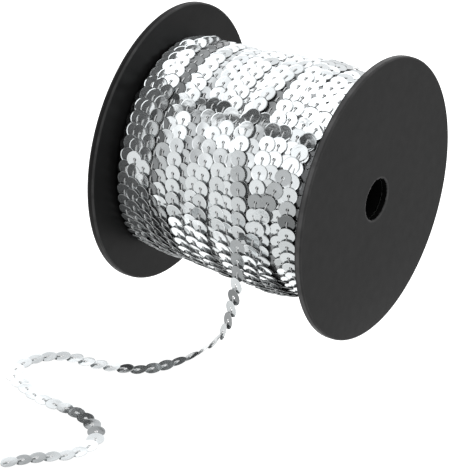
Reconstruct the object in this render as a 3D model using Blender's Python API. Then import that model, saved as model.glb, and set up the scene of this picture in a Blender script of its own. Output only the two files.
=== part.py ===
"""Sequin trim wound on a flanged plastic spool, with one loose end on the surface.

The spool lies on its side: its axis is +X, and its two rims stand on z = 0.
The loose end leaves the front of the winding, hangs down and lies in an S.
"""
import math

import bmesh
import bpy
from mathutils import Vector

MM = 0.001

# Spool
FLANGE_RADIUS = 50.0 * MM
FLANGE_THICKNESS = 2.6 * MM
SPOOL_WIDTH = 85.6 * MM
BORE_RADIUS = 7.4 * MM
CORE_RADIUS = 10.0 * MM
RIM_ROUND = 0.8 * MM
BORE_ROUND = 0.4 * MM
PIECE_GAP = 0.3 * MM
FLANGE_SEGMENTS = 96
# The rim is flat over three of its segments where the spool stands
REST_HALF_ANGLE = 3 * math.pi / FLANGE_SEGMENTS
AXIS_HEIGHT = FLANGE_RADIUS * math.cos(REST_HALF_ANGLE)
INNER_FACE = SPOOL_WIDTH / 2 - FLANGE_THICKNESS

# Winding
WINDING_HALF = INNER_FACE - PIECE_GAP
WINDING_BORE = CORE_RADIUS + PIECE_GAP
WINDING_END_RADIUS = 35.0 * MM
GROOVE_DEPTH = 1.3 * MM
SHOULDER_DROP = 0.35 * MM
SHOULDER_REACH = 0.5
WINDING_LIFT = 0.4 * MM
TURN_UNEVENNESS = 0.25 * MM

# Angles are in degrees around the axis: 0 is the front, 90 the top
TURN_ANGLES = (75.0, 30.0, -20.0, -150.0)
# Outer turns of the winding, in mm along the axis, from the far flange to the near one
# Columns: x at the top, x at the front, x low on the front, x at the back, crest radius
TURNS = (
    (-37.4, -37.2, -36.8, -37.0, 37.0),
    (-32.8, -32.2, -31.6, -32.0, 38.2),
    (-28.0, -26.8, -25.8, -26.6, 39.2),
    (-22.8, -21.4, -20.2, -21.2, 38.8),
    (-17.7, -15.8, -13.4, -15.8, 39.6),
    (-12.6, -10.6, -8.8, -10.5, 39.9),
    (-7.4, -5.4, -3.6, -5.2, 40.5),
    (-2.0, -0.2, 1.8, 0.2, 41.0),
    (3.4, 5.0, 7.0, 5.4, 41.3),
    (8.8, 10.6, 12.6, 10.8, 41.9),
    (14.4, 16.6, 17.8, 16.2, 42.0),
    (20.2, 22.0, 22.8, 21.6, 41.7),
    (26.0, 27.2, 27.6, 27.0, 40.8),
    (31.6, 32.0, 32.2, 32.0, 39.4),
    (36.8, 36.8, 36.8, 37.0, 37.0),
)

# Loose end: a flat string of sequins
STRING_WIDTH = 6.0 * MM
STRING_THICKNESS = 1.2 * MM
STRING_STEP = 2.9 * MM
STRING_EDGE_SIDES = 3
# Route of the string's centre line in mm: x, y, height above the surface,
# and the way that its sequins face there
ROUTE = (
    ((13.4, -42.6, 42.0), (0.0, -1.0, 0.0)),
    ((14.0, -43.2, 36.0), (-0.2, -1.0, 0.0)),
    ((13.7, -43.5, 29.0), (-0.3, -1.0, 0.0)),
    ((12.4, -43.9, 21.0), (-0.3, -1.0, 0.1)),
    ((10.9, -44.6, 13.5), (-0.5, -0.85, 0.2)),
    ((8.6, -46.4, 7.8), (-0.64, -0.46, 0.62)),
    ((4.8, -51.2, 3.6), (-0.55, -0.04, 0.8)),
    ((1.0, -57.2, 1.8), (-0.3, 0.0, 0.95)),
    ((-3.9, -64.5, 0.9), (0.0, -0.1, 1.0)),
    ((-8.8, -69.6, 0.8), (0.0, 0.0, 1.0)),
    ((-15.8, -72.6, 0.8), (0.0, 0.0, 1.0)),
    ((-25.8, -74.7, 0.8), (0.0, 0.0, 1.0)),
    ((-33.3, -75.2, 0.8), (0.0, 0.0, 1.0)),
    ((-39.1, -78.2, 0.8), (0.0, 0.0, 1.0)),
    ((-43.6, -84.6, 0.8), (0.0, 0.0, 1.0)),
    ((-44.6, -90.6, 0.8), (0.0, 0.0, 1.0)),
    ((-41.9, -96.0, 0.8), (0.0, 0.0, 1.0)),
    ((-35.5, -99.4, 0.8), (0.0, 0.0, 1.0)),
    ((-29.0, -102.3, 0.8), (0.0, 0.0, 1.0)),
    ((-21.5, -103.6, 0.8), (0.0, 0.0, 1.0)),
    ((-13.8, -103.9, 0.8), (0.0, 0.0, 1.0)),
    ((-7.0, -105.2, 0.8), (0.0, 0.0, 1.0)),
    ((-1.0, -108.4, 0.8), (0.0, 0.0, 1.0)),
    ((3.2, -112.6, 0.8), (0.0, 0.0, 1.0)),
    ((4.8, -118.2, 0.8), (0.0, 0.0, 1.0)),
    ((4.0, -123.8, 0.8), (0.0, 0.0, 1.0)),
    ((1.4, -128.6, 0.8), (0.0, 0.0, 1.0)),
    ((-3.0, -132.2, 0.8), (0.0, 0.0, 1.0)),
    ((-7.0, -136.3, 0.8), (0.0, 0.0, 1.0)),
    ((-13.4, -143.7, 0.8), (0.0, 0.0, 1.0)),
)

# Fineness of the round shapes
WINDING_SEGMENTS = 72
ROUND_STEPS = 2
SMOOTH_ANGLE = math.radians(40)

# Colours: linear red, green and blue
BLACK_PLASTIC = (0.035, 0.035, 0.037)
DARK_PLASTIC = (0.02, 0.02, 0.021)
SILVER = (0.82, 0.83, 0.84)


def clear_scene():
    """Remove every object of the open scene."""
    for thing in list(bpy.data.objects):
        bpy.data.objects.remove(thing, do_unlink=True)


def make_material(name, colour, roughness, metallic):
    """Return a Principled material of one colour."""
    material = bpy.data.materials.new(name)
    material.use_nodes = True
    shader = material.node_tree.nodes["Principled BSDF"]
    shader.inputs["Base Color"].default_value = (*colour, 1.0)
    shader.inputs["Roughness"].default_value = roughness
    shader.inputs["Metallic"].default_value = metallic
    return material


def loft(name, sections, closed, material):
    """Skin a row of closed point loops: a closed row is a ring, an open one gets end caps."""
    mesh = bmesh.new()
    loops = [[mesh.verts.new(point) for point in section] for section in sections]
    pairs = list(zip(loops, loops[1:]))
    if closed:
        pairs.append((loops[-1], loops[0]))
    else:
        mesh.faces.new(loops[0])
        mesh.faces.new(loops[-1])
    for loop, following in pairs:
        for i in range(len(loop)):
            j = (i + 1) % len(loop)
            mesh.faces.new((loop[i], loop[j], following[j], following[i]))
    bmesh.ops.recalc_face_normals(mesh, faces=mesh.faces)
    data = bpy.data.meshes.new(name)
    mesh.to_mesh(data)
    mesh.free()
    data.materials.append(material)
    data.shade_smooth()
    data.set_sharp_from_angle(angle=SMOOTH_ANGLE)
    solid = bpy.data.objects.new(name, data)
    bpy.context.scene.collection.objects.link(solid)
    return solid


def around_axis(x, radius, angle):
    """Return the point at a radius and an angle around the spool's axis."""
    y = -radius * math.cos(angle)
    z = AXIS_HEIGHT + radius * math.sin(angle)
    return Vector((x, y, z))


def turned_sections(profile, segments):
    """Return a profile of (x, radius) points turned around the spool's axis."""
    sections = []
    for k in range(segments):
        angle = 2 * math.pi * (k + 0.5) / segments
        sections.append([around_axis(x, radius, angle) for x, radius in profile])
    return sections


def corner(x, radius, size, start):
    """Return the points of a rounded corner around a centre, from a start angle on."""
    points = []
    for step in range(ROUND_STEPS + 1):
        turn = start + math.pi / 2 * step / ROUND_STEPS
        points.append((x + size * math.cos(turn), radius + size * math.sin(turn)))
    return points


def flange_profile(low_x):
    """Return the flange's section, rounded at the rim and at the bore."""
    high_x = low_x + FLANGE_THICKNESS
    rim = FLANGE_RADIUS - RIM_ROUND
    bore = BORE_RADIUS + BORE_ROUND
    profile = corner(high_x - RIM_ROUND, rim, RIM_ROUND, 0.0)
    profile += corner(low_x + RIM_ROUND, rim, RIM_ROUND, math.pi / 2)
    profile += corner(low_x + BORE_ROUND, bore, BORE_ROUND, math.pi)
    profile += corner(high_x - BORE_ROUND, bore, BORE_ROUND, 1.5 * math.pi)
    return profile


def make_flange(name, low_x, material):
    """Make one flange, worn to a short flat where it stands."""
    sections = turned_sections(flange_profile(low_x), FLANGE_SEGMENTS)
    for section in sections:
        for point in section:
            point.z = max(point.z, 0.0)
    return loft(name, sections, True, material)


def make_core(material):
    """Make the hub tube between the flanges."""
    half = INNER_FACE - PIECE_GAP
    profile = (
        (-half, BORE_RADIUS),
        (half, BORE_RADIUS),
        (half, CORE_RADIUS),
        (-half, CORE_RADIUS),
    )
    return loft("core", turned_sections(profile, FLANGE_SEGMENTS), True, material)


def turn_place(turn, degrees):
    """Return where a turn lies along the axis, eased between its four stated places."""
    places = turn[:4]
    for i in range(4):
        start = TURN_ANGLES[i]
        end = TURN_ANGLES[i + 1] if i < 3 else TURN_ANGLES[0] - 360.0
        behind = (start - degrees) % 360.0
        if behind <= start - end:
            share = behind / (start - end)
            ease = share * share * (3.0 - 2.0 * share)
            return (places[i] + (places[(i + 1) % 4] - places[i]) * ease) * MM
    return places[0] * MM


def winding_section(angle):
    """Return the winding's section at an angle: a ridge for each turn, over a plain bore."""
    degrees = math.degrees(angle)
    lift = WINDING_LIFT * math.sin(angle)
    crests = []
    for i, turn in enumerate(TURNS):
        swell = TURN_UNEVENNESS * math.sin(3.0 * angle + 2.4 * i)
        crests.append((turn_place(turn, degrees), turn[4] * MM + lift + swell))
    outer = [(-WINDING_HALF, WINDING_END_RADIUS)]
    for i, (x, radius) in enumerate(crests):
        before = crests[i - 1][0] if i else -2 * WINDING_HALF - x
        after = crests[i + 1][0] if i < len(crests) - 1 else 2 * WINDING_HALF - x
        left = (x + before) / 2
        right = (x + after) / 2
        outer.append((x + (left - x) * SHOULDER_REACH, radius - SHOULDER_DROP))
        outer.append((x, radius))
        outer.append((x + (right - x) * SHOULDER_REACH, radius - SHOULDER_DROP))
        if i < len(crests) - 1:
            outer.append((right, min(radius, crests[i + 1][1]) - GROOVE_DEPTH))
    outer.append((WINDING_HALF, WINDING_END_RADIUS))
    section = [(-WINDING_HALF, WINDING_BORE), *outer, (WINDING_HALF, WINDING_BORE)]
    return [around_axis(x, radius, angle) for x, radius in section]


def make_winding(material):
    """Make the wound trim as one ridged ring."""
    sections = []
    for k in range(WINDING_SEGMENTS):
        sections.append(winding_section(2 * math.pi * k / WINDING_SEGMENTS))
    return loft("winding", sections, True, material)


def spline_point(points, place):
    """Return the point of a smooth curve through the given points, at a place along them."""
    i = min(int(place), len(points) - 2)
    t = place - i
    a = points[max(i - 1, 0)]
    b = points[i]
    c = points[i + 1]
    d = points[min(i + 2, len(points) - 1)]
    bend = 2 * b + (c - a) * t
    bend += (2 * a - 5 * b + 4 * c - d) * t ** 2
    bend += (3 * b - a - 3 * c + d) * t ** 3
    return bend / 2


def string_stations():
    """Return even stations along the route: place, direction and facing of each."""
    centres = [Vector(place) * MM for place, facing in ROUTE]
    facings = [Vector(facing) for place, facing in ROUTE]
    fine = 40
    count = (len(ROUTE) - 1) * fine
    places = [k / fine for k in range(count + 1)]
    curve = [spline_point(centres, place) for place in places]
    lengths = [0.0]
    for k in range(count):
        lengths.append(lengths[-1] + (curve[k + 1] - curve[k]).length)
    steps = round(lengths[-1] / STRING_STEP)
    stations = []
    k = 0
    for step in range(steps + 1):
        while k < count and lengths[k] < lengths[-1] * step / steps - 1e-9:
            k += 1
        direction = (curve[min(k + 1, count)] - curve[max(k - 1, 0)]).normalized()
        stations.append((curve[k], direction, spline_point(facings, places[k])))
    return stations


def string_section(centre, direction, facing):
    """Return the flat string's section with round edges, square to its direction."""
    side = direction.cross(facing).normalized()
    up = side.cross(direction)
    edge = STRING_THICKNESS / 2
    reach = STRING_WIDTH / 2 - edge
    points = []
    for sign in (1, -1):
        for step in range(STRING_EDGE_SIDES + 1):
            turn = -math.pi / 2 + math.pi * step / STRING_EDGE_SIDES
            across = sign * (reach + edge * math.cos(turn))
            points.append(centre + side * across + up * (sign * edge * math.sin(turn)))
    return points


def make_loose_end(material):
    """Make the loose end as one flat string along its route."""
    sections = [string_section(*station) for station in string_stations()]
    return loft("loose_end", sections, False, material)


def build():
    """Make all the pieces."""
    clear_scene()
    flange_black = make_material("flange_black", BLACK_PLASTIC, 0.45, 0.0)
    core_black = make_material("core_black", DARK_PLASTIC, 0.5, 0.0)
    wound_silver = make_material("wound_silver", SILVER, 0.2, 1.0)
    string_silver = make_material("string_silver", SILVER, 0.2, 1.0)
    make_flange("flange_left", -SPOOL_WIDTH / 2, flange_black)
    make_flange("flange_right", INNER_FACE, flange_black)
    make_core(core_black)
    make_winding(wound_silver)
    make_loose_end(string_silver)


build()
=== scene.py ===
"""Looks of the wound sequin trim: sequins, thread, spool plastic, light and camera.

Lengths are in metres, and tables say where they hold millimetres. An angle around
the spool's axis is 0 at the front, 90 degrees at the top and -90 below.
"""

import math

import bpy
import numpy as np
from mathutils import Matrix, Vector


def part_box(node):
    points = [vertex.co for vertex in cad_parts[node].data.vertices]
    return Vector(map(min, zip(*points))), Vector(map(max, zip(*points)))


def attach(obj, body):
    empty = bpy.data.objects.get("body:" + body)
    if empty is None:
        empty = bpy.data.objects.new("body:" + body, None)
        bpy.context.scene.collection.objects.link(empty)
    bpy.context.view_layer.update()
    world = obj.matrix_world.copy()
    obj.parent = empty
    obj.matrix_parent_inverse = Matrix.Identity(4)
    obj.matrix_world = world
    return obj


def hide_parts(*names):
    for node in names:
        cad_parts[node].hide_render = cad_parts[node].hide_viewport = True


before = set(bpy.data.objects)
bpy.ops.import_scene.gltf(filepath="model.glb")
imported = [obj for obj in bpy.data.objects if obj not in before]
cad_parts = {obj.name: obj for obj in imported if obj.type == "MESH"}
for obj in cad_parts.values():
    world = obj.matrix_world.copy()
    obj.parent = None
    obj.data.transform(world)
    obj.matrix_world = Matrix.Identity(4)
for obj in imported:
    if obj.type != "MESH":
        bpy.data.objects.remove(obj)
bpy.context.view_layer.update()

MM = 0.001

# Spool: places and thickness from the frame, then its other sizes
LEFT_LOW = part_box("flange_left")[0]
RIGHT_LOW, RIGHT_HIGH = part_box("flange_right")
CORE_LOW, CORE_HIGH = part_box("core")
AXIS_HEIGHT = (CORE_LOW[2] + CORE_HIGH[2]) / 2
FLANGE_THICKNESS = RIGHT_HIGH[0] - RIGHT_LOW[0]
FLANGE_RADIUS = 50.0 * MM
BORE_RADIUS = 7.4 * MM
RIM_ROUND = 0.5 * MM
BORE_ROUND = 0.4 * MM
# Unevenness of the bore's edge, and the weights that smooth it along the edge
BORE_BURR = 0.12 * MM
SMOOTHING = (0.3, 0.6, 0.3)
# Painted highlight on the bore's edge, and wear of each flange's rim and the rim's edges
BORE_HIGHLIGHT = 0.4
LEFT_WEAR = (0.05, 0.35)
RIGHT_WEAR = (0.6, 0.25)
# Where the wear of an edge ends, along the rim and down the face, and where the bore's painted highlight
# ends around the bore
RIM_WEAR_END = 0.8 * MM
FACE_WEAR_END = 0.15 * MM
BORE_HIGHLIGHT_END = 0.5 * MM
FLANGE_SEGMENTS = 192
BODY_SEGMENTS = 120
BODY_RINGS = 41
BODY_GAP = 0.3 * MM
LATHE_SHARP = 35.0
RIM_STEPS = 5
BORE_STEPS = 3

# Sequins and their string
SEQUIN_RADIUS = 3.0 * MM
HOLE_RADIUS = 0.6 * MM
SEQUIN_THICKNESS = 0.10 * MM
LIP_HEIGHT = 0.07 * MM
LIP_WIDTH = 0.32 * MM
# Degrees from one wound sequin to the next, and tilt of each on the one before
SEQUIN_STEP = 6.85
SEQUIN_TILT = 8.0
# Usual bend of a sequin into a saddle
BEND = 0.05 * MM
# Kinds of string: points around a sequin and loops across its face, angle from which its
# edges are sharp, unevenness of tilt and roll in degrees, usual cupping, and brightness of
# the dimmest sequins beside the brightest ones
OUTER = {"sides": 18, "rings": 2, "sharp": 9.0, "tilt": 0.8, "roll": 1.5, "cup": 0.04 * MM, "dim": 0.9}
UNDER = {"sides": 16, "rings": 1, "sharp": 40.0, "tilt": 3.0, "roll": 5.0, "cup": 0.05 * MM, "dim": 0.6}
LOOSE = {"sides": 28, "rings": 3, "sharp": 50.0, "tilt": 0.8, "roll": 1.2, "cup": 0.04 * MM, "dim": 0.92}
# The loose end's sequins have a lower lip, and a loop beside it keeps its shading narrow
LOOSE_LIP = 0.02 * MM
LOOSE_GUARD = 0.12 * MM
# Share of the silver colour that is left in the darkest sequins, where painted shade stands for darker
# reflections
DARKEST_PAINTED_SHARE = 0.12
# Points of a rim or hole are as far from the middle as each other but for this
SAME_REACH = 1e-7
THREAD_RADIUS = 0.22 * MM
THREAD_SIDES = 6
THREAD_SHARP = 60.0
# A direction along which no thread runs
THREAD_SIDE = (0.37, 0.61, 0.70)
# Thread in each sequin's frame. Columns: mm along the string, mm out of the sequin
THREAD_STITCH = (
    (-1.1, -0.30),
    (-0.35, -0.18),
    (0.05, 0.18),
    (0.5, 0.30),
    (1.3, 0.27),
    (2.1, 0.20),
)
# Steps over which the string's way and the slope under it are measured: degrees, length
TURN_STEP = 1.0
SLOPE_STEP = 2.0 * MM
LAYER = 0.45 * MM
# The winding sits a little high on its core: by LIFTS at two places along the axis
LIFT_PLACES = (-10.0 * MM, 35.0 * MM)
LIFTS = (0.4 * MM, 1.0 * MM)

# Radius of the winding under its outer turns. Columns: x, radius, in mm
PROFILE = (
    (-40.0, 36.4),
    (-35.0, 37.4),
    (-30.0, 38.0),
    (-25.0, 38.3),
    (-15.0, 38.6),
    (-5.0, 39.6),
    (5.0, 40.1),
    (15.0, 40.6),
    (20.0, 40.4),
    (25.0, 39.6),
    (30.0, 38.6),
    (35.0, 37.2),
    (40.0, 35.0),
)

# The places below are read in the photograph, on a cylinder of this radius
READ_RADIUS = 40.5 * MM
# Behind the spool, where the photograph shows nothing, a turn's place is the true one
BACK_ANGLE = -150.0
# Outer turns in the order in which they were wound, far flange to near flange
TURN_ANGLES = (85.0, 60.0, 35.0, 10.0, -15.0, BACK_ANGLE)
# Columns: x in mm at each of TURN_ANGLES, level in layers, angle of one sequin's middle,
# lean to the left in degrees, brightness (a painted shade). The last four have the numbers below.
LEVEL = 6
MARK = 7
LEAN = 8
PAINTED_BRIGHTNESS = 9
LOWER_TURNS = (
    (-36.9, -36.9, -36.8, -36.9, -36.6, -36.8, -2.6, 46.0, 4.0, 0.3),
    (-35.3, -33.6, -33.1, -33.5, -33.4, -35.6, 0.1, 49.5, -8.0, 1.0),
    (-31.8, -30.5, -30.9, -30.3, -29.9, -31.5, 0.6, 49.3, -0.5, 1.0),
    (-29.1, -27.4, -26.6, -26.6, -25.7, -27.4, 0.8, 53.2, 2.5, 1.0),
    (-24.0, -23.4, -23.3, -23.2, -23.0, -24.2, -0.4, 50.0, 6.0, 1.0),
    (-18.6, -19.4, -20.3, -19.7, -18.8, -21.0, 0.0, 51.0, 1.0, 0.95),
    (-17.8, -17.1, -15.8, -14.4, -12.8, -16.0, 0.8, 48.8, 0.0, 1.0),
    (-13.4, -13.0, -12.0, -10.5, -10.2, -12.8, -0.6, 51.0, 2.0, 0.75),
    (-10.2, -8.4, -7.3, -6.4, -7.0, -9.8, 0.3, 53.1, 0.0, 1.0),
    (-4.8, -3.8, -3.3, -3.2, -3.2, -4.4, 0.9, 53.0, 0.0, 1.0),
    (-2.6, -2.2, -0.8, 0.6, 1.4, -1.4, -0.8, 50.0, 0.0, 0.85),
    (-0.9, -0.7, 1.6, 3.3, 5.0, 0.8, 1.0, 50.5, 0.0, 1.0),
    (2.8, 3.2, 3.8, 5.0, 6.4, 3.6, -0.5, 48.0, 0.0, 0.9),
    (6.2, 6.4, 6.7, 7.1, 8.1, 6.6, 0.6, 50.2, 0.0, 1.0),
    (13.0, 12.7, 12.4, 12.6, 12.8, 12.4, 0.0, 52.5, 0.0, 0.8),
    (16.2, 17.0, 17.5, 18.6, 17.6, 17.0, 1.2, 48.6, 0.0, 1.0),
    (20.5, 21.1, 21.8, 22.4, 20.7, 21.6, 0.6, 49.3, 0.0, 1.0),
    (27.4, 27.1, 26.9, 27.8, 29.1, 27.0, -0.2, 49.0, 0.0, 1.0),
    (34.0, 32.8, 30.2, 31.2, 32.0, 32.4, 1.5, 47.4, 0.0, 1.0),
    (37.5, 37.5, 37.3, 37.2, 37.2, 36.8, -2.8, 51.0, 0.0, 0.05),
)
# The last turns cross over the others. The second one ends where the loose end leaves.
UPPER_TURNS = (
    (34.4, 32.7, 28.6, 22.1, 16.3, 13.0, 2.0, 48.6, 0.0, 1.0),
    (9.7, 7.9, 8.3, 12.1, 12.4, 12.4, 1.8, 53.1, 0.0, 1.0),
)
# Single sequins with a painted shade that stands for darker reflections. Columns: x in mm, angle,
# brightness
PAINTED_SHADE_SPOTS = (
    (-26.5, 41.0, 0.60),
    (-20.0, 27.0, 0.60),
    (-20.0, 20.0, 0.70),
    (-19.6, 13.0, 0.80),
    (-14.0, 5.5, 0.70),
    (-13.5, -1.0, 0.80),
    (-7.5, 33.0, 0.80),
    (-7.3, 26.0, 0.78),
    (-3.5, 4.0, 0.85),
    (-3.0, -3.0, 0.55),
    (2.0, 28.5, 0.85),
    (3.0, 15.0, 0.85),
    (4.5, -5.0, 0.85),
    (9.0, 31.5, 0.66),
    (10.5, 24.5, 0.58),
    (11.4, 18.0, 0.55),
    (12.3, 11.0, 0.80),
    (12.5, 4.5, 0.68),
    (12.5, -3.0, 0.82),
    (18.0, 14.5, 0.40),
    (26.7, 30.5, 0.50),
    (25.0, 24.0, 0.55),
    (23.0, 17.5, 0.36),
    (22.0, 10.5, 0.92),
    (30.0, 43.0, 0.80),
    (31.0, 15.5, 0.62),
    (31.0, 8.5, 0.14),
    (30.5, -7.0, 0.80),
    (29.5, -14.0, 0.75),
)
# Reach of a painted shade spot in mm and in degrees
PAINTED_SHADE_REACH = (1.7, 3.2)
# Stretches that stand differently. Columns: x in mm and angle of the middle, reach in mm
# and in degrees, lean to the left and rise of the upper edge in degrees, brightness (a painted shade)
STRETCHES = (
    (-31.3, 72.0, 2.0, 16.0, -8.5, 0.0, 1.0),
    (-31.0, 17.5, 1.8, 6.0, -7.5, 0.0, 0.95),
    (-31.0, 8.5, 1.8, 3.0, -4.0, 0.0, 0.95),
    (-28.0, 74.0, 1.8, 16.5, -6.5, 0.0, 1.0),
    (-27.0, 47.5, 2.0, 9.5, 4.5, 0.0, 0.9),
    (-26.5, 30.5, 1.9, 7.0, 4.0, 0.0, 1.0),
    (-26.5, 20.5, 1.8, 3.0, 2.0, 0.0, 1.0),
    (-26.5, 13.0, 1.8, 3.0, -6.0, 0.0, 0.9),
    (-26.0, -16.0, 2.4, 18.0, 6.0, 0.0, 0.7),
    (-19.0, -20.0, 1.8, 15.0, 8.0, 0.0, 0.30),
    (-32.5, 101.0, 6.0, 16.0, 0.0, 16.0, 1.0),
    (-31.0, -14.0, 7.0, 14.0, 0.0, 0.0, 0.8),
    (12.8, 73.0, 1.6, 15.0, 0.0, 0.0, 0.15),
    (23.0, 116.5, 11.0, 9.5, 0.0, 0.0, 0.45),
    (-23.4, 40.0, 1.3, 90.0, 0.0, 0.0, 0.22),
    (-8.5, 53.5, 2.0, 3.0, 0.0, 4.0, 0.5),
    (-3.6, 52.5, 1.8, 3.0, 0.0, 2.2, 0.5),
    (7.5, 53.5, 1.8, 3.0, 0.0, 2.0, 0.7),
    (0.2, 50.5, 1.8, 3.0, 0.0, 3.2, 0.8),
    (27.0, 50.5, 1.8, 3.0, 0.0, 3.4, 0.8),
    (-17.2, 50.0, 1.8, 3.0, 0.0, 3.4, 0.9),
    (16.7, 49.4, 1.8, 3.0, 0.0, -0.8, 0.6),
    (31.2, 49.6, 1.8, 3.0, 0.0, -0.8, 0.5),
)
# Angle given to sequins that the camera can't see, out of reach of the two tables above
HIDDEN = -999.0
# The last turn ends and the loose end begins at this angle
EXIT_ANGLE = -4.1
# Sequins before the first stated one
LEAD_SEQUINS = 4

# The layer below shows in the gaps between the outer turns
UNDER_TURNS = 15
UNDER_REACH = 36.0
UNDER_LIMIT = 36.8
UNDER_LEVEL = -1.7
UNDER_LEAN = 3.0
# Largest slant in mm, and how fast it changes from turn to turn
UNDER_SLANT = 2.6
SLANT_CHANGE = 2.1
# Angle of one sequin's middle, how far it wanders, and how fast from turn to turn
UNDER_MARK = 50.0
MARK_WANDER = 3.0
MARK_CHANGE = 1.7
# Painted shade of the layer below, for its depth among the outer turns
UNDER_PAINTED_SHADE = 0.35
# Beyond this x in mm the layer below gets a darker painted shade, for the flanges' shadow
UNDER_LIT_REACH = 31.0
UNDER_FLANGE_PAINTED_SHADE = 0.1
BODY_LEVEL = -4.5

# Route of the loose end's centre line in mm, as in the part's source: x, y, height,
# and the way that its sequins face
ROUTE = (
    ((13.4, -42.6, 42.0), (0.0, -1.0, 0.0)),
    ((14.0, -43.2, 36.0), (-0.2, -1.0, 0.0)),
    ((13.7, -43.5, 29.0), (-0.3, -1.0, 0.0)),
    ((12.4, -43.9, 21.0), (-0.3, -1.0, 0.1)),
    ((10.9, -44.6, 13.5), (-0.5, -0.85, 0.2)),
    ((8.6, -46.4, 7.8), (-0.64, -0.46, 0.62)),
    ((4.8, -51.2, 3.6), (-0.55, -0.04, 0.8)),
    ((1.0, -57.2, 1.8), (-0.3, 0.0, 0.95)),
    ((-3.9, -64.5, 0.9), (0.0, -0.1, 1.0)),
    ((-8.8, -69.6, 0.8), (0.0, 0.0, 1.0)),
    ((-15.8, -72.6, 0.8), (0.0, 0.0, 1.0)),
    ((-25.8, -74.7, 0.8), (0.0, 0.0, 1.0)),
    ((-33.3, -75.2, 0.8), (0.0, 0.0, 1.0)),
    ((-39.1, -78.2, 0.8), (0.0, 0.0, 1.0)),
    ((-43.6, -84.6, 0.8), (0.0, 0.0, 1.0)),
    ((-44.6, -90.6, 0.8), (0.0, 0.0, 1.0)),
    ((-41.9, -96.0, 0.8), (0.0, 0.0, 1.0)),
    ((-35.5, -99.4, 0.8), (0.0, 0.0, 1.0)),
    ((-29.0, -102.3, 0.8), (0.0, 0.0, 1.0)),
    ((-21.5, -103.6, 0.8), (0.0, 0.0, 1.0)),
    ((-13.8, -103.9, 0.8), (0.0, 0.0, 1.0)),
    ((-7.0, -105.2, 0.8), (0.0, 0.0, 1.0)),
    ((-1.0, -108.4, 0.8), (0.0, 0.0, 1.0)),
    ((3.2, -112.6, 0.8), (0.0, 0.0, 1.0)),
    ((4.8, -118.2, 0.8), (0.0, 0.0, 1.0)),
    ((4.0, -123.8, 0.8), (0.0, 0.0, 1.0)),
    ((1.4, -128.6, 0.8), (0.0, 0.0, 1.0)),
    ((-3.0, -132.2, 0.8), (0.0, 0.0, 1.0)),
    ((-7.0, -136.3, 0.8), (0.0, 0.0, 1.0)),
    ((-13.4, -143.7, 0.8), (0.0, 0.0, 1.0)),
)
STRING_PITCH = 4.7 * MM
# Points of the smooth centre line, and the step between those that the cord states
CURVE_POINTS = 1200
# Sequins of the loose end with a painted shade for darker reflections, numbered from the winding: first,
# last, brightness
PAINTED_SHADE_SEQUINS = (
    (0, 0, 0.50),
    (1, 1, 0.40),
    (2, 2, 0.34),
    (3, 3, 0.95),
    (4, 4, 0.22),
    (5, 5, 0.70),
    (6, 6, 0.14),
    (7, 7, 0.50),
    (8, 10, 0.48),
    (15, 15, 0.25),
    (30, 31, 0.80),
    (33, 33, 0.45),
    (34, 34, 0.30),
    (35, 35, 0.17),
    (36, 36, 0.60),
    (41, 42, 0.48),
    (43, 43, 0.85),
)

# Camera, fitted to the outlines of both flanges in the photograph. Angles in degrees,
# sensor in mm
VIEW_AZIMUTH = 32.49
VIEW_ELEVATION = 28.04
VIEW_DISTANCE = 1.1692
VIEW_TARGET = Vector((-0.018, 0.0, AXIS_HEIGHT - 0.0313))
FOCAL_PIXELS = 3302.0
FRAME_HEIGHT_PIXELS = 471
SENSOR = 36.0
CLIP_END = 10.0

# Brightness of the studio around the X axis. Columns: degrees from straight up
# towards the front, brightness
SKY = (
    (-180.0, 0.45),
    (-90.0, 0.60),
    (-67.0, 0.95),
    (-60.0, 1.05),
    (-57.5, 0.55),
    (-49.0, 0.53),
    (-45.0, 0.75),
    (-30.0, 1.00),
    (28.0, 1.00),
    (31.0, 0.00),
    (40.5, 0.00),
    (44.5, 0.89),
    (70.0, 0.85),
    (79.0, 0.59),
    (180.0, 0.52),
)
# Strength of that light, and its share of blue beside red and green
SKY_STRENGTH = 2.0
SKY_BLUE = 1.01
# The studio is dimmer on the left: X of the directions where it fades, and shares of the
# strength on the dim and on the bright side
SIDE_FADE = (-0.85, -0.40)
SIDE_SHARES = (0.35, 1.1)
# The floor glows more under and behind the spool, as painted light over its shadow: direction away
# from its front edge, places of the soft front edge and of the soft right edge, glow outside and inside
# them
FLOOR_REACH = 2.0
FLOOR_DEPTH = (-0.356, 1.0, 0.0)
FLOOR_FRONT = (-0.046, -0.038)
FLOOR_RIGHT = (0.060, 0.030)
FLOOR_PAINTED_LIGHT = (0.98, 1.60)

RANDOM = np.random.default_rng(7)


def new_material(name):
    """Return a material with its Principled shader and its node tree."""
    material = bpy.data.materials.new(name)
    material.use_nodes = True
    tree = material.node_tree
    return material, tree, tree.nodes["Principled BSDF"]


def set_inputs(tree, node, values, links):
    """Set a node's inputs, and link other nodes' outputs to it."""
    for key, value in values.items():
        node.inputs[key].default_value = value
    for key, output in links.items():
        tree.links.new(output, node.inputs[key])


def add_node(tree, kind, values=None, links=None, **settings):
    """Add a node with its settings and inputs."""
    node = tree.nodes.new(kind)
    for key, value in settings.items():
        setattr(node, key, value)
    set_inputs(tree, node, values or {}, links or {})
    return node


def noise(tree, scale, detail=2.0, roughness=0.5):
    """Return a noise value in object space, with its scale per metre."""
    place = add_node(tree, "ShaderNodeTexCoord").outputs["Object"]
    values = {"Scale": scale, "Detail": detail, "Roughness": roughness}
    node = add_node(tree, "ShaderNodeTexNoise", values, {"Vector": place})
    return node.outputs["Fac"]


def spread(tree, value, low, high):
    """Map a value from 0..1 to low..high."""
    values = {"To Min": low, "To Max": high}
    return add_node(tree, "ShaderNodeMapRange", values, {"Value": value}).outputs["Result"]


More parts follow.
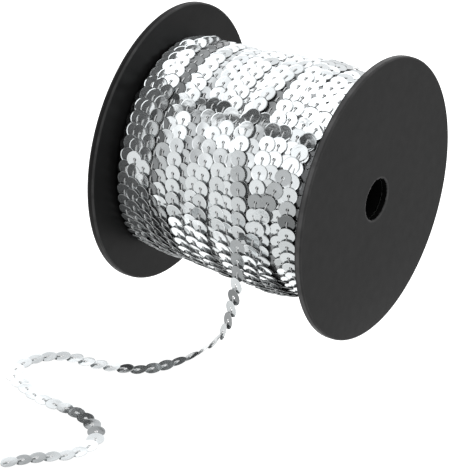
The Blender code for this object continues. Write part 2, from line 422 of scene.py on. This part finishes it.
def smooth_range(tree, value, start, end):
    """Map a value to 0..1, eased between a start and an end."""
    values = {"From Min": start, "From Max": end}
    node = add_node(
        tree,
        "ShaderNodeMapRange",
        values,
        {"Value": value},
        interpolation_type="SMOOTHSTEP",
    )
    return node.outputs["Result"]


def two_tone(tree, dark, light, share):
    """Return a colour that goes from dark to light as a value goes from 0 to 1."""
    values = {"Color1": (*dark, 1.0), "Color2": (*light, 1.0)}
    return add_node(tree, "ShaderNodeMixRGB", values, {"Fac": share}).outputs["Color"]


def bump(tree, height, strength, distance):
    """Return a normal bumped by a height."""
    values = {"Strength": strength, "Distance": distance}
    return add_node(tree, "ShaderNodeBump", values, {"Height": height}).outputs["Normal"]


def silver_material(name, colour, rough_low, rough_high):
    """Mirror film: each sequin has its own tone, partly random and partly painted shade for darker
    reflections, with faint waves and scuffs.
    """
    material, tree, shader = new_material(name)
    tone_and_shade = add_node(tree, "ShaderNodeAttribute", attribute_name="tone_and_shade").outputs["Fac"]
    painted_dark = [channel * DARKEST_PAINTED_SHARE for channel in colour]
    looks = {
        # The tone darkens the silver towards a painted shade that stands for darker reflections
        "Base Color": two_tone(tree, painted_dark, colour, tone_and_shade),
        "Roughness": spread(tree, noise(tree, 1400.0), rough_low, rough_high),
        "Normal": bump(tree, noise(tree, 650.0, 1.0), 0.06, 0.0004),
    }
    set_inputs(tree, shader, {"Metallic": 0.87}, looks)
    return material


def thread_material():
    """White thread of twisted fibres."""
    material, tree, shader = new_material("white_thread")
    looks = {
        "Base Color": two_tone(tree, (0.30, 0.31, 0.31), (0.55, 0.56, 0.56), noise(tree, 5000.0)),
        "Normal": bump(tree, noise(tree, 9000.0), 0.5, 0.0001),
    }
    set_inputs(tree, shader, {"Roughness": 0.75}, looks)
    return material


def plastic_material(name, dark, light, specular):
    """Moulded black plastic: fine grain, cloudy variation, rim edges worn lighter in patches and a
    painted highlight on the bore's edge.
    """
    material, tree, shader = new_material(name)
    clouds = two_tone(tree, [dark] * 3, [light] * 3, noise(tree, 35.0, 3.0))
    worn_and_lit = add_node(tree, "ShaderNodeAttribute", attribute_name="worn_and_lit").outputs["Fac"]
    patches = spread(tree, smooth_range(tree, noise(tree, 160.0, 5.0), 0.40, 0.65), 0.75, 1.25)
    wear_and_highlight = add_node(tree, "ShaderNodeMath", links={0: worn_and_lit, 1: patches}, operation="MULTIPLY")
    # Wear on the rims, and a painted highlight on the bore's edge, lighten the plastic towards this grey
    scuffed_and_lit = add_node(
        tree,
        "ShaderNodeMixRGB",
        {"Color2": (0.075, 0.075, 0.075, 1.0)},
        {"Fac": wear_and_highlight.outputs[0], "Color1": clouds},
    )
    looks = {
        "Base Color": scuffed_and_lit.outputs["Color"],
        "Roughness": spread(tree, noise(tree, 260.0, 4.0), 0.38, 0.52),
        "Normal": bump(tree, noise(tree, 3500.0, 2.0), 0.12, 0.0001),
    }
    set_inputs(tree, shader, {"Specular IOR Level": specular}, looks)
    return material


def bore_shade_material():
    """Plastic inside the bore, painted near black as painted shade, rough from moulding."""
    material, tree, shader = new_material("bore_painted_shade")
    looks = {
        "Base Color": two_tone(tree, [0.0008] * 3, [0.003] * 3, noise(tree, 300.0, 3.0)),
        "Normal": bump(tree, noise(tree, 900.0, 3.0), 0.3, 0.0002),
    }
    set_inputs(tree, shader, {"Specular IOR Level": 0.02, "Roughness": 0.8}, looks)
    return material


def edge_material():
    """Cut edge of the sequins' clear film."""
    material, tree, shader = new_material("sequin_edge")
    looks = {
        "Base Color": two_tone(tree, (0.34, 0.35, 0.35), (0.58, 0.59, 0.59), noise(tree, 1800.0)),
        "Normal": bump(tree, noise(tree, 4000.0), 0.4, 0.0001),
    }
    set_inputs(tree, shader, {"Roughness": 0.4}, looks)
    return material


def body_material():
    """Deep layers of the winding, seen only between the sequins, painted dark as painted shade."""
    material, tree, shader = new_material("packed_string_painted_shade")
    looks = {
        "Base Color": two_tone(tree, (0.02, 0.02, 0.022), (0.16, 0.16, 0.17), noise(tree, 420.0, 3.0)),
        "Normal": bump(tree, noise(tree, 500.0, 3.0), 0.8, 0.0008),
    }
    set_inputs(tree, shader, {"Metallic": 0.6, "Roughness": 0.45}, looks)
    return material


def add_mesh(name, points, faces, materials, sharp=40.0):
    """Make a mesh object from arrays, shaded smooth but for edges from the sharp angle on."""
    data = bpy.data.meshes.new(name)
    data.from_pydata(points.tolist(), [], faces)
    for material in materials:
        data.materials.append(material)
    data.shade_smooth()
    data.set_sharp_from_angle(angle=math.radians(sharp))
    thing = bpy.data.objects.new(name, data)
    bpy.context.scene.collection.objects.link(thing)
    return thing


def grid_faces(rows, columns, close_rows=False):
    """Return the quads between closed loops of points that follow each other."""
    faces = []
    for row in range(rows if close_rows else rows - 1):
        here = row * columns
        there = (row + 1) % rows * columns
        for column in range(columns):
            beside = (column + 1) % columns
            faces.append((here + column, here + beside, there + beside, there + column))
    return faces


def sequin_template(kind, lip=LIP_HEIGHT, guard=None):
    """Return a sequin's points and faces: u along the string, v across, w up.

    Its loops run from the hole over the top and the raised lip to the rim, and back below.
    A guard loop keeps the lip's shading off the flat face.
    """
    half = SEQUIN_THICKNESS / 2
    flat = SEQUIN_RADIUS - LIP_WIDTH
    spans = list(np.linspace(HOLE_RADIUS, flat, kind["rings"]))
    if guard:
        spans.insert(-1, flat - guard)
    loops = [(radius, half) for radius in spans]
    loops.append((SEQUIN_RADIUS, half + lip))
    loops += [(SEQUIN_RADIUS, -half), (HOLE_RADIUS, -half)]
    sides = kind["sides"]
    turns = 2 * math.pi * np.arange(sides) / sides
    points = []
    for radius, height in loops:
        for turn in turns:
            points.append((radius * math.cos(turn), radius * math.sin(turn), height))
    faces = grid_faces(len(loops), sides, close_rows=True)
    return np.array(points), np.array(faces)[:, ::-1]


def view_back():
    """Return the direction from the object to the camera."""
    azimuth = math.radians(VIEW_AZIMUTH)
    elevation = math.radians(VIEW_ELEVATION)
    flat = math.cos(elevation)
    return Vector(
        (
            math.sin(azimuth) * flat,
            -math.cos(azimuth) * flat,
            math.sin(elevation),
        )
    )


def base_radius(x):
    """Return the winding's radius under the outer turns at a place along the axis."""
    table = np.array(PROFILE) * MM
    return np.interp(x, table[:, 0], table[:, 1])


def string_radius(x, angle, level):
    """Return the radius at which a string lies: the winding sits a little high on its core."""
    return base_radius(x) + level * LAYER + np.interp(x, LIFT_PLACES, LIFTS) * np.sin(angle)


def true_place(x, degrees, level):
    """Return the x and the angle of a string that the camera sees at the given ones."""
    angle = math.radians(degrees)
    seen = Vector(
        (
            x,
            -READ_RADIUS * math.cos(angle),
            READ_RADIUS * math.sin(angle),
        )
    )
    eye = VIEW_TARGET + view_back() * VIEW_DISTANCE - Vector((0.0, 0.0, AXIS_HEIGHT))
    ray = (seen - eye).normalized()
    place = seen
    # The radius depends on the place, so a few steps find both
    for _ in range(4):
        radius = float(string_radius(place.x, angle, level))
        across = ray.y ** 2 + ray.z ** 2
        half = seen.y * ray.y + seen.z * ray.z
        rest = READ_RADIUS ** 2 - radius ** 2
        depth = (-half - math.sqrt(max(half * half - across * rest, 0.0))) / across
        place = seen + ray * depth
    # No sequin reaches into a flange
    reach = CORE_HIGH[0] - SEQUIN_RADIUS
    return min(max(place.x, -reach), reach), math.degrees(math.atan2(place.z, -place.y))


def steady(places, values, at):
    """Read a smooth curve through values at rising places."""
    slopes = np.gradient(values, places)
    i = np.clip(np.searchsorted(places, at) - 1, 0, len(places) - 2)
    width = places[i + 1] - places[i]
    t = (at - places[i]) / width
    blend = values[i] * (1 + 2 * t) * (1 - t) ** 2 + slopes[i] * width * t * (1 - t) ** 2
    blend += values[i + 1] * t * t * (3 - 2 * t) + slopes[i + 1] * width * t * t * (t - 1)
    return blend


def turn_knots(turn):
    """Return a turn's true places along its angles."""
    knots = []
    for seen, degrees in zip(turn, TURN_ANGLES):
        if degrees == BACK_ANGLE:
            knots.append((seen * MM, degrees))
        else:
            knots.append(true_place(seen * MM, degrees, turn[LEVEL]))
    return knots


def chain_path(turns):
    """Return a function from an unwound angle to the string's x and level."""
    angles = []
    places = []
    levels = []
    for i, turn in enumerate(turns):
        for place, degrees in turn_knots(turn):
            angles.append(360.0 * i - degrees)
            places.append(place)
            levels.append(turn[LEVEL])
    angles = np.array(angles)
    places = np.array(places)
    levels = np.array(levels)
    return lambda at: (steady(angles, places, at), np.interp(at, angles, levels))


def chain_marks(turns):
    """Return the unwound angle of the sequin that each turn states."""
    marks = []
    for i, turn in enumerate(turns):
        seen = float(np.interp(-turn[MARK], [-d for d in TURN_ANGLES], turn[:LEVEL]))
        marks.append(360.0 * i - true_place(seen * MM, turn[MARK], turn[LEVEL])[1])
    return marks


def chain_sequins(turns, end_angle):
    """Return the unwound angles of the sequins on a chain of turns."""
    marks = chain_marks(turns)
    first = marks[0] - SEQUIN_STEP * LEAD_SEQUINS
    marks = [first, *marks, 360.0 * (len(turns) - 1) - end_angle]
    angles = []
    for start, end in zip(marks, marks[1:]):
        count = max(1, round((end - start) / SEQUIN_STEP))
        angles.extend(start + (end - start) * np.arange(count) / count)
    return np.array([*angles, marks[-1]])


def chain_looks(turns, unwound):
    """Return each sequin's lean in degrees and its brightness, a painted shade."""
    # A turn runs from the back over the top and the front to the back
    started = (unwound + 360.0 + BACK_ANGLE) // 360.0
    turn = np.clip(started.astype(int), 0, len(turns) - 1)
    leans = np.array([row[LEAN] for row in turns])[turn]
    tones_and_shades = np.array([row[PAINTED_BRIGHTNESS] for row in turns])[turn]
    return leans, tones_and_shades


def seen_places(middles):
    """Return the x in mm and the angle at which the camera sees points on the winding.

    Points on the far side, which it can't see, get the angle HIDDEN.
    """
    eye = np.array(VIEW_TARGET + view_back() * VIEW_DISTANCE)
    rays = unit(eye - middles)
    y = middles[:, 1]
    z = middles[:, 2] - AXIS_HEIGHT
    across = rays[:, 1] ** 2 + rays[:, 2] ** 2
    half = y * rays[:, 1] + z * rays[:, 2]
    rest = y ** 2 + z ** 2 - READ_RADIUS ** 2
    depth = (-half + np.sqrt(np.maximum(half ** 2 - across * rest, 0.0))) / across
    place = middles + rays * depth[:, None]
    angles = np.degrees(np.arctan2(place[:, 2] - AXIS_HEIGHT, -place[:, 1]))
    return place[:, 0] / MM, np.where(half > 0.0, angles, HIDDEN)


def spots(middles, levels):
    """Return the leans, rises and painted-shade brightness that the stretches and painted shade spots
    give.
    """
    leans = np.zeros(len(middles))
    rises = np.zeros(len(middles))
    tones_and_shades = np.ones(len(middles))
    x, angles = seen_places(middles)
    for spot_x, spot_angle, reach_x, reach_angle, lean, rise, share in STRETCHES:
        near = np.abs(x - spot_x) < reach_x
        near &= np.abs(angles - spot_angle) < reach_angle
        leans[near] += lean
        rises[near] += rise
        tones_and_shades[near] *= share
    for spot_x, spot_angle, share in PAINTED_SHADE_SPOTS:
        near = np.abs(x - spot_x) < PAINTED_SHADE_REACH[0]
        near &= np.abs(angles - spot_angle) < PAINTED_SHADE_REACH[1]
        if near.any():
            picks = np.flatnonzero(near)
            tones_and_shades[picks[np.argmax(levels[picks])]] *= share
    return leans, rises, tones_and_shades


def winding_points(path, unwound):
    """Return points of a wound string at unwound angles."""
    x, level = path(unwound)
    angle = np.radians(-unwound)
    radius = string_radius(x, angle, level)
    return np.stack(
        [x, -radius * np.cos(angle), AXIS_HEIGHT + radius * np.sin(angle)], axis=-1
    )


def unit(vectors):
    """Return vectors at unit length."""
    return vectors / np.linalg.norm(vectors, axis=-1, keepdims=True)


def winding_frames(path, unwound):
    """Return the sequins' middles and frames (along, across, out) on a wound string."""
    middles = winding_points(path, unwound)
    ahead = winding_points(path, unwound + TURN_STEP)
    behind = winding_points(path, unwound - TURN_STEP)
    along = unit(ahead - behind)
    x = middles[:, 0]
    slope = (base_radius(x + SLOPE_STEP) - base_radius(x - SLOPE_STEP)) / (2 * SLOPE_STEP)
    angle = np.radians(-unwound)
    out = np.stack([-slope, -np.cos(angle), np.sin(angle)], axis=-1)
    across = unit(np.cross(out, along))
    return middles, along, across, np.cross(along, across)


def tilt_frames(frames, kind, leans=0.0, rises=0.0):
    """Tilt each sequin so that its trailing edge lies on the one before, a little unevenly."""
    middles, along, across, out = frames
    count = len(middles)
    pitch = SEQUIN_TILT + rises + kind["tilt"] * RANDOM.standard_normal(count)
    pitch = np.radians(pitch)[:, None]
    leaning = along * np.cos(pitch) - out * np.sin(pitch)
    raised = out * np.cos(pitch) + along * np.sin(pitch)
    turn = np.radians(leans + kind["roll"] * RANDOM.standard_normal(count))[:, None]
    sideways = across * np.cos(turn) + raised * np.sin(turn)
    facing = raised * np.cos(turn) - across * np.sin(turn)
    return middles, leaning, sideways, facing


def place_sequins(frames, template, cup):
    """Return the points and faces of a sequin at each frame, each warped a little."""
    middles, along, across, out = frames
    points, faces = template
    count = len(middles)
    reach = SEQUIN_RADIUS ** 2
    round_part = (points[:, 0] ** 2 + points[:, 1] ** 2) / reach
    saddle_part = (points[:, 0] ** 2 - points[:, 1] ** 2) / reach
    cups = cup * RANDOM.standard_normal(count)[:, None]
    bends = BEND * RANDOM.standard_normal(count)[:, None]
    rise = points[None, :, 2] + cups * round_part + bends * saddle_part
    placed = middles[:, None] + along[:, None] * points[None, :, 0, None]
    placed += across[:, None] * points[None, :, 1, None]
    placed += out[:, None] * rise[..., None]
    offsets = np.arange(count) * len(points)
    all_faces = (faces[None] + offsets[:, None, None]).reshape(-1, 4)
    return placed.reshape(-1, 3), all_faces.tolist()


def add_attribute(thing, name, values):
    """Give each point of a mesh a number that its material reads."""
    attribute = thing.data.attributes.new(name, "FLOAT", "POINT")
    attribute.data.foreach_set("value", values.astype(np.float32))


def add_tones_and_shades(thing, tones_and_shades):
    """Give each sequin of a joined mesh its own brightness: a random tone times a painted shade."""
    size = len(thing.data.vertices) // len(tones_and_shades)
    add_attribute(thing, "tone_and_shade", np.repeat(tones_and_shades, size))


def edge_faces(template):
    """Return 1 for each of a sequin's faces at its rim and its hole, and 0 for the others."""
    points, faces = template
    reach = np.hypot(points[faces][:, :, 0], points[faces][:, :, 1])
    return (np.ptp(reach, axis=1) < SAME_REACH).astype(np.int32)


def add_edges(thing, template):
    """Give the cut edges of each sequin their own material."""
    edge = edge_faces(template)
    count = len(thing.data.polygons) // len(edge)
    thing.data.polygons.foreach_set("material_index", np.tile(edge, count))


def tube(points, radius, sides):
    """Return a closed tube's points and faces along a line of points."""
    count = len(points)
    along = unit(np.gradient(points, axis=0))
    side = unit(np.cross(along, np.array(THREAD_SIDE)))
    up = np.cross(side, along)
    turns = 2 * math.pi * np.arange(sides) / sides
    ring = side[:, None] * np.cos(turns)[None, :, None] + up[:, None] * np.sin(turns)[None, :, None]
    around = points[:, None] + radius * ring
    faces = grid_faces(count, sides)
    faces.append(tuple(range(sides))[::-1])
    faces.append(tuple((count - 1) * sides + j for j in range(sides)))
    return around.reshape(-1, 3), faces


def thread_tube(frames):
    """Return the thread that comes up through each hole and goes under the next sequin."""
    middles, along, across, out = frames
    stitch = np.array(THREAD_STITCH) * MM
    path = middles[:, None] + along[:, None] * stitch[None, :, 0, None]
    path = path + out[:, None] * stitch[None, :, 1, None]
    return tube(path.reshape(-1, 3), THREAD_RADIUS, THREAD_SIDES)


def join(shapes):
    """Join several (points, faces) shapes into one."""
    all_points = []
    all_faces = []
    offset = 0
    for points, faces in shapes:
        all_points.append(points)
        all_faces.extend(tuple(i + offset for i in face) for face in faces)
        offset += len(points)
    return np.concatenate(all_points), all_faces


def make_turns(name, turns, end_angle, looks, kind, spotted=True):
    """Make the sequins and the thread of a chain of turns."""
    silver, edge, thread = looks
    path = chain_path(turns)
    unwound = chain_sequins(turns, end_angle)
    leans, tones_and_shades = chain_looks(turns, unwound)
    rises = 0.0
    frames = winding_frames(path, unwound)
    if spotted:
        spot_leans, rises, spot_shades = spots(frames[0], path(unwound)[1])
        leans = leans + spot_leans
        tones_and_shades = tones_and_shades * spot_shades
    frames = tilt_frames(frames, kind, leans, rises)
    template = sequin_template(kind)
    points, faces = place_sequins(frames, template, kind["cup"])
    sequins = add_mesh(f"sequins_{name}", points, faces, [silver, edge], kind["sharp"])
    add_tones_and_shades(sequins, tones_and_shades * RANDOM.uniform(kind["dim"], 1.0, len(tones_and_shades)))
    add_edges(sequins, template)
    stitches = add_mesh(f"thread_{name}", *thread_tube(frames), [thread], THREAD_SHARP)
    return sequins, stitches


def under_turns():
    """Return the turns of the layer below, wound back from the near flange to the far one."""
    turns = []
    for i in range(UNDER_TURNS):
        share = i / (UNDER_TURNS - 1)
        x = UNDER_REACH * (1 - 2 * share)
        slant = UNDER_SLANT * math.sin(SLANT_CHANGE * i)
        places = [x + slant * (angle / 90.0) for angle in TURN_ANGLES[:-1]]
        places = [min(max(place, -UNDER_LIMIT), UNDER_LIMIT) for place in places]
        mark = UNDER_MARK + MARK_WANDER * math.sin(MARK_CHANGE * i)
        tone_and_shade = UNDER_PAINTED_SHADE if abs(x) < UNDER_LIT_REACH else UNDER_FLANGE_PAINTED_SHADE
        turns.append((*places, x, UNDER_LEVEL, mark, UNDER_LEAN, tone_and_shade))
    return turns


def lathe(name, profile, segments, materials, floor=None, burr=0.0):
    """Turn a closed profile around the spool's axis.

    Its rows are x, radius, wear of the edge (a painted highlight at the bore) and number of the material
    up to the next row.
    """
    turns = 2 * math.pi * (np.arange(segments) + 0.5) / segments
    chips = burr * np.convolve(RANDOM.standard_normal(segments + 2), SMOOTHING, "valid")
    loops = []
    for turn, chip in zip(turns, chips):
        for x, radius, wear_and_highlight, slot in profile:
            if radius < BORE_RADIUS + BORE_ROUND:
                radius += chip
            z = AXIS_HEIGHT + radius * math.sin(turn)
            if floor is not None:
                z = max(z, floor)
            loops.append((x, -radius * math.cos(turn), z))
    faces = grid_faces(segments, len(profile), close_rows=True)
    thing = add_mesh(name, np.array(loops), faces, materials, LATHE_SHARP)
    wears_and_highlights = [wear_and_highlight for x, radius, wear_and_highlight, slot in profile]
    add_attribute(thing, "worn_and_lit", np.tile(wears_and_highlights, segments))
    slots = np.tile([slot for x, radius, wear_and_highlight, slot in profile], segments).astype(np.int32)
    thing.data.polygons.foreach_set("material_index", slots)
    return thing


def make_winding_body(material):
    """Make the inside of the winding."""
    half = CORE_HIGH[0]
    inner = CORE_HIGH[2] - AXIS_HEIGHT + BODY_GAP
    profile = [(half, inner, 0.0, 0), (-half, inner, 0.0, 0)]
    for x in np.linspace(-half, half, BODY_RINGS):
        profile.append((x, float(base_radius(x)) + BODY_LEVEL * LAYER, 0.0, 0))
    return lathe("winding_body", profile, BODY_SEGMENTS, [material])


def corner(x, radius, size, start, wear_and_highlight, steps):
    """Return the rows of a rounded corner around a centre, from a start angle on."""
    rows = []
    for step in range(steps + 1):
        turn = start + math.pi / 2 * step / steps
        rows.append((x + size * math.cos(turn), radius + size * math.sin(turn), wear_and_highlight, 0))
    return rows


def make_flange(name, low_x, materials, rim_wear, edge_wear, low_slot=0):
    """Make a flange with a rounded rim and a rough bore edge, standing on its short flat.

    low_slot is the number of the material on the flat face at low_x.
    """
    high_x = low_x + FLANGE_THICKNESS
    rim = FLANGE_RADIUS - RIM_ROUND
    bore = BORE_RADIUS + BORE_ROUND
    profile = [(high_x, rim - FACE_WEAR_END, 0.0, 0)]
    profile += corner(high_x - RIM_ROUND, rim, RIM_ROUND, 0.0, edge_wear, RIM_STEPS)
    profile.append((high_x - RIM_WEAR_END, FLANGE_RADIUS, rim_wear, 0))
    profile.append((low_x + RIM_WEAR_END, FLANGE_RADIUS, rim_wear, 0))
    profile += corner(low_x + RIM_ROUND, rim, RIM_ROUND, math.pi / 2, edge_wear, RIM_STEPS)
    profile.append((low_x, rim - FACE_WEAR_END, 0.0, low_slot))
    profile.append((low_x, bore + BORE_HIGHLIGHT_END, 0.0, low_slot))
    # The bore's corners get a painted highlight
    profile += corner(low_x + BORE_ROUND, bore, BORE_ROUND, math.pi, BORE_HIGHLIGHT, BORE_STEPS)
    # The bore has the second material
    profile[-1] = (*profile[-1][:3], 1)
    turn = 1.5 * math.pi
    profile += corner(high_x - BORE_ROUND, bore, BORE_ROUND, turn, BORE_HIGHLIGHT, BORE_STEPS)
    profile.append((high_x, bore + BORE_HIGHLIGHT_END, 0.0, 0))
    return lathe(name, profile, FLANGE_SEGMENTS, materials, floor=0.0, burr=BORE_BURR)


def spline_points(points, places):
    """Return points of a smooth curve through the given points, at places along them."""
    i = np.clip(places.astype(int), 0, len(points) - 2)
    t = (places - i)[:, None]
    a = points[np.maximum(i - 1, 0)]
    b = points[i]
    c = points[i + 1]
    d = points[np.minimum(i + 2, len(points) - 1)]
    bend = 2 * b + (c - a) * t + (2 * a - 5 * b + 4 * c - d) * t ** 2
    return (bend + (3 * b - a - 3 * c + d) * t ** 3) / 2


def loose_end_curve():
    """Return the loose end's dense centre line, its lengths and the way that it faces."""
    centres = np.array([place for place, facing in ROUTE]) * MM
    facings = np.array([facing for place, facing in ROUTE])
    places = np.linspace(0, len(ROUTE) - 1, CURVE_POINTS)
    curve = spline_points(centres, places)
    steps = np.linalg.norm(np.diff(curve, axis=0), axis=1)
    lengths = np.concatenate([[0.0], np.cumsum(steps)])
    return curve, lengths, spline_points(facings, places)


def loose_end_frames():
    """Return the sequins' frames along the loose end."""
    curve, lengths, facings = loose_end_curve()
    count = int(lengths[-1] / STRING_PITCH)
    stations = np.linspace(0.0, lengths[-1] - SEQUIN_RADIUS, count + 1)
    picks = np.searchsorted(lengths, stations).clip(1, len(curve) - 2)
    along = unit(curve[picks + 1] - curve[picks - 1])
    across = unit(np.cross(facings[picks], along))
    return curve[picks], along, across, np.cross(along, across)


def make_loose_end(looks):
    """Make the loose end: sequins on their thread along the route."""
    frames = tilt_frames(loose_end_frames(), LOOSE)
    template = sequin_template(LOOSE, LOOSE_LIP, LOOSE_GUARD)
    points, faces = place_sequins(frames, template, LOOSE["cup"])
    string = thread_tube(frames)
    all_points, all_faces = join([(points, faces), string])
    thing = add_mesh("loose_end_string", all_points, all_faces, looks, LOOSE["sharp"])
    thread_slot = len(looks) - 1
    slots = np.full(len(all_faces), thread_slot, dtype=np.int32)
    slots[: len(faces)] = np.tile(edge_faces(template), len(frames[0]))
    thing.data.polygons.foreach_set("material_index", slots)
    tones_and_shades = np.ones(len(all_points))
    loose_shades = RANDOM.uniform(LOOSE["dim"], 1.0, len(frames[0]))
    # Random tone times the painted shade of the listed sequins
    for first, last, share in PAINTED_SHADE_SEQUINS:
        loose_shades[first : last + 1] *= share
    tones_and_shades[: len(points)] = np.repeat(loose_shades, len(template[0]))
    add_attribute(thing, "tone_and_shade", tones_and_shades)
    return thing


def make_camera():
    """Look at the spool as the photograph does."""
    back = view_back()
    data = bpy.data.cameras.new("camera")
    data.sensor_width = SENSOR
    data.lens = SENSOR * FOCAL_PIXELS / FRAME_HEIGHT_PIXELS
    data.clip_end = CLIP_END
    camera = bpy.data.objects.new("camera", data)
    camera.location = VIEW_TARGET + back * VIEW_DISTANCE
    camera.rotation_euler = back.to_track_quat("Z", "Y").to_euler()
    bpy.context.scene.collection.objects.link(camera)
    bpy.context.scene.camera = camera


def set_ramp(ramp, rows):
    """Set a colour ramp from rows of degrees and brightness."""
    while len(ramp.elements) > 1:
        ramp.elements.remove(ramp.elements[-1])
    for i, (degrees, brightness) in enumerate(rows):
        position = (degrees + 180.0) / 360.0
        element = ramp.elements[0] if i == 0 else ramp.elements.new(position)
        element.position = position
        element.color = (brightness, brightness, brightness * SKY_BLUE, 1.0)


def make_world():
    """Soft studio all around, with one dark gap between the top and the front softbox."""
    world = bpy.data.worlds.new("studio")
    world.use_nodes = True
    tree = world.node_tree
    place = add_node(tree, "ShaderNodeTexCoord").outputs["Generated"]
    split = add_node(tree, "ShaderNodeSeparateXYZ", links={"Vector": place})
    front = add_node(
        tree,
        "ShaderNodeMath",
        {1: -1.0},
        {0: split.outputs["Y"]},
        operation="MULTIPLY",
    )
    angle = add_node(
        tree,
        "ShaderNodeMath",
        links={0: front.outputs[0], 1: split.outputs["Z"]},
        operation="ARCTAN2",
    )
    share = add_node(
        tree,
        "ShaderNodeMapRange",
        {"From Min": -math.pi, "From Max": math.pi},
        {"Value": angle.outputs[0]},
    )
    ramp = add_node(tree, "ShaderNodeValToRGB", links={"Fac": share.outputs["Result"]})
    set_ramp(ramp.color_ramp, SKY)
    side = smooth_range(tree, split.outputs["X"], *SIDE_FADE)
    fall = spread(tree, side, *[SKY_STRENGTH * share for share in SIDE_SHARES])
    links = {"Color": ramp.outputs["Color"], "Strength": fall}
    set_inputs(tree, tree.nodes["Background"], {}, links)
    bpy.context.scene.world = world


def make_floor():
    """Plain pale floor that glows, with painted light brightest under and behind the spool."""
    signs = ((-1, -1), (1, -1), (1, 1), (-1, 1))
    corners = np.array([(x * FLOOR_REACH, y * FLOOR_REACH, 0.0) for x, y in signs])
    material, tree, shader = new_material("pale_floor")
    values = {
        "Base Color": (0.08, 0.08, 0.08, 1.0),
        "Roughness": 0.9,
        "Specular IOR Level": 0.1,
        "Emission Color": (1.0, 1.0, 1.0, 1.0),
    }
    place = add_node(tree, "ShaderNodeTexCoord").outputs["Object"]
    split = add_node(tree, "ShaderNodeSeparateXYZ", links={"Vector": place})
    depth = add_node(
        tree,
        "ShaderNodeVectorMath",
        {1: FLOOR_DEPTH},
        {0: place},
        operation="DOT_PRODUCT",
    )
    near = smooth_range(tree, depth.outputs["Value"], *FLOOR_FRONT)
    left = smooth_range(tree, split.outputs["X"], *FLOOR_RIGHT)
    both = add_node(tree, "ShaderNodeMath", links={0: near, 1: left}, operation="MULTIPLY")
    painted_glow = spread(tree, both.outputs[0], *FLOOR_PAINTED_LIGHT)
    set_inputs(tree, shader, values, {"Emission Strength": painted_glow})
    floor = add_mesh("floor", corners, [(0, 1, 2, 3)], [material])


def set_colours():
    """Show colours plainly, with white as white."""
    scene = bpy.context.scene
    scene.view_settings.view_transform = "Standard"
    scene.view_settings.look = "None"
    scene.cycles.use_denoising = True
    scene.cycles.max_bounces = 8


def build():
    """Make every piece and say what carries it."""
    make_camera()
    silver = silver_material("silver_sequin", (0.655, 0.685, 0.692), 0.06, 0.14)
    # Darker copy of the silver for the layer below: the darkness is a painted shade
    under = silver_material("silver_under_painted_shade", (0.55, 0.57, 0.58), 0.12, 0.25)
    thread = thread_material()
    plastic = plastic_material("black_plastic", 0.0065, 0.0105, 0.066)
    # Darker copy of the black plastic for the left flange, all but its outer face: a painted shade
    painted_shade_plastic = plastic_material("black_plastic_painted_shade", 0.003, 0.006, 0.05)
    edge = edge_material()
    looks = (silver, edge, thread)
    loose = make_loose_end(looks)
    lower = make_turns("lower", LOWER_TURNS, BACK_ANGLE, looks, OUTER)
    upper = make_turns("upper", UPPER_TURNS, EXIT_ANGLE, looks, OUTER)
    under_looks = (under, edge, thread)
    below = make_turns("under", under_turns(), BACK_ANGLE, under_looks, UNDER, spotted=False)
    body = make_winding_body(body_material())
    bore_shade = bore_shade_material()
    left_looks = [painted_shade_plastic, bore_shade, plastic]
    left = make_flange("flange_left_shell", LEFT_LOW[0], left_looks, *LEFT_WEAR, low_slot=2)
    right = make_flange("flange_right_shell", RIGHT_LOW[0], [plastic, bore_shade], *RIGHT_WEAR)
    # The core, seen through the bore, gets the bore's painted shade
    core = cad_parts["core"]
    core.data.materials.clear()
    core.data.materials.append(bore_shade)
    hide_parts("winding")
    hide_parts("loose_end")
    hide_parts("flange_left")
    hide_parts("flange_right")
    for piece in (loose, *lower, *upper, *below, body):
        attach(piece, "root")
    for piece in (left, right):
        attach(piece, "root")
    make_world()
    make_floor()
    set_colours()


build()
